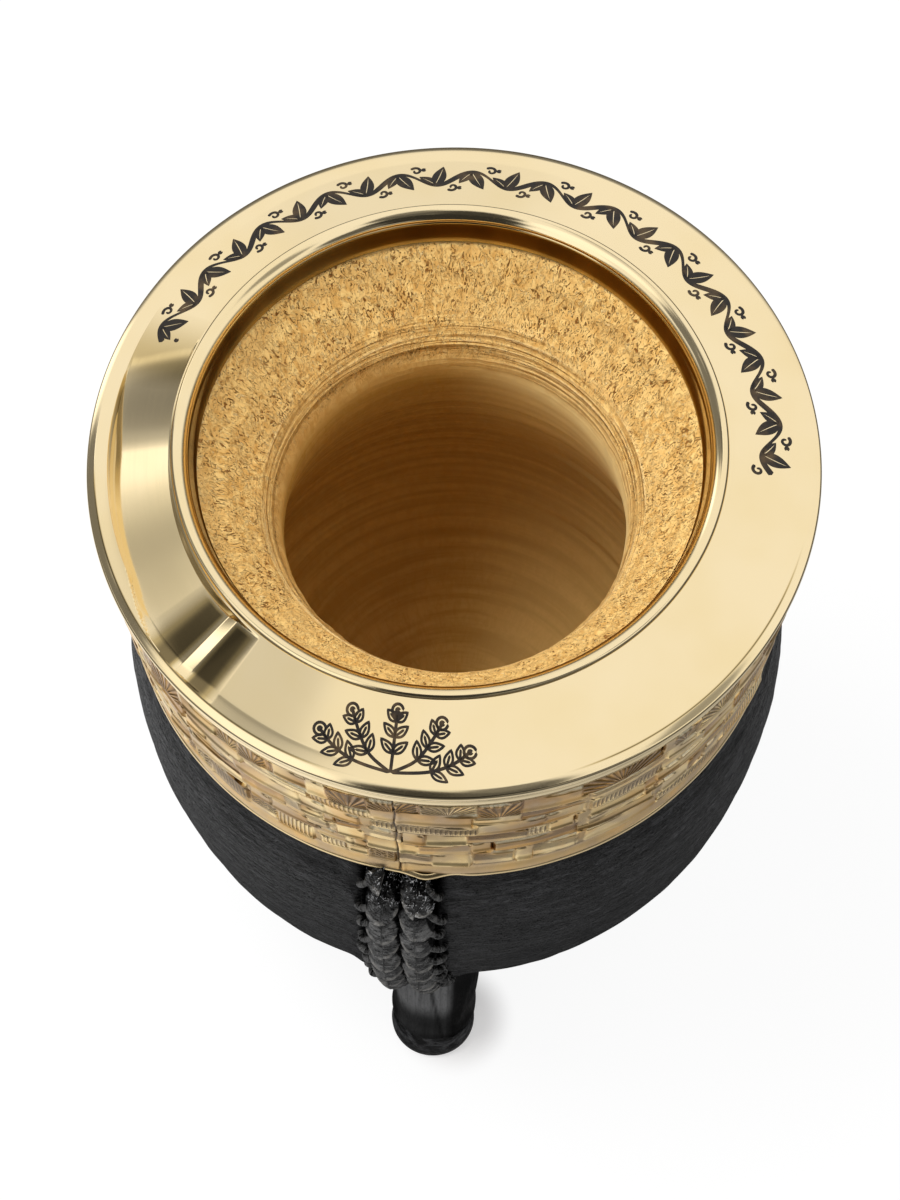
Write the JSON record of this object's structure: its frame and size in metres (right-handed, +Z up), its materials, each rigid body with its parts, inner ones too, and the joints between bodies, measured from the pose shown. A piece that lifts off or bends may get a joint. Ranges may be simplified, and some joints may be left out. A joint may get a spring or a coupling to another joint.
{
  "type": "imperial mate gourd",
  "caption": "Calabash drinking cup in a laced black leather cover on legs, with a wide polished brass ferrule that has a sunk rest for the straw.",
  "frame": {"origin": "on the floor, on the cup's axis, midway between the outermost points", "axes": "+Z up; the front leg points to -Y, the laced seam runs down the front just left of it, and the straw rest is sunk in the rim on the -X side"},
  "size_m": [0.095, 0.0964, 0.1149],
  "materials": {
    "polished_brass": "polished",
    "chased_brass": "hand chased, satin",
    "bedding_resin": "cast, matt",
    "calabash": "turned and sanded, unvarnished",
    "black_leather": "matt, fine grained",
    "black_thong": "waxed",
    "peg_wood": "bare",
    "sole_leather": "matt"
  },
  "bodies": {
    "root": {"rim_plate": "polished_brass", "collar": "polished_brass", "moulding_ring": "polished_brass", "chased_band": "chased_brass", "band_hem": "polished_brass", "ferrule_bedding": "bedding_resin", "gourd_shell": "calabash", "leather_cover": "black_leather", "seam_underlap": "black_leather", "seam_welt_left": "black_leather", "seam_welt_right": "black_leather", "seam_lace_left": "black_thong", "seam_lace_right": "black_thong", "base_patch": "black_leather", "leg_sleeve_front": "black_leather", "leg_peg_front": "peg_wood", "leg_sole_front": "sole_leather", "leg_sleeve_right": "black_leather", "leg_peg_right": "peg_wood", "leg_sole_right": "sole_leather", "leg_sleeve_left": "black_leather", "leg_peg_left": "peg_wood", "leg_sole_left": "sole_leather"}
  },
  "joints": []
}
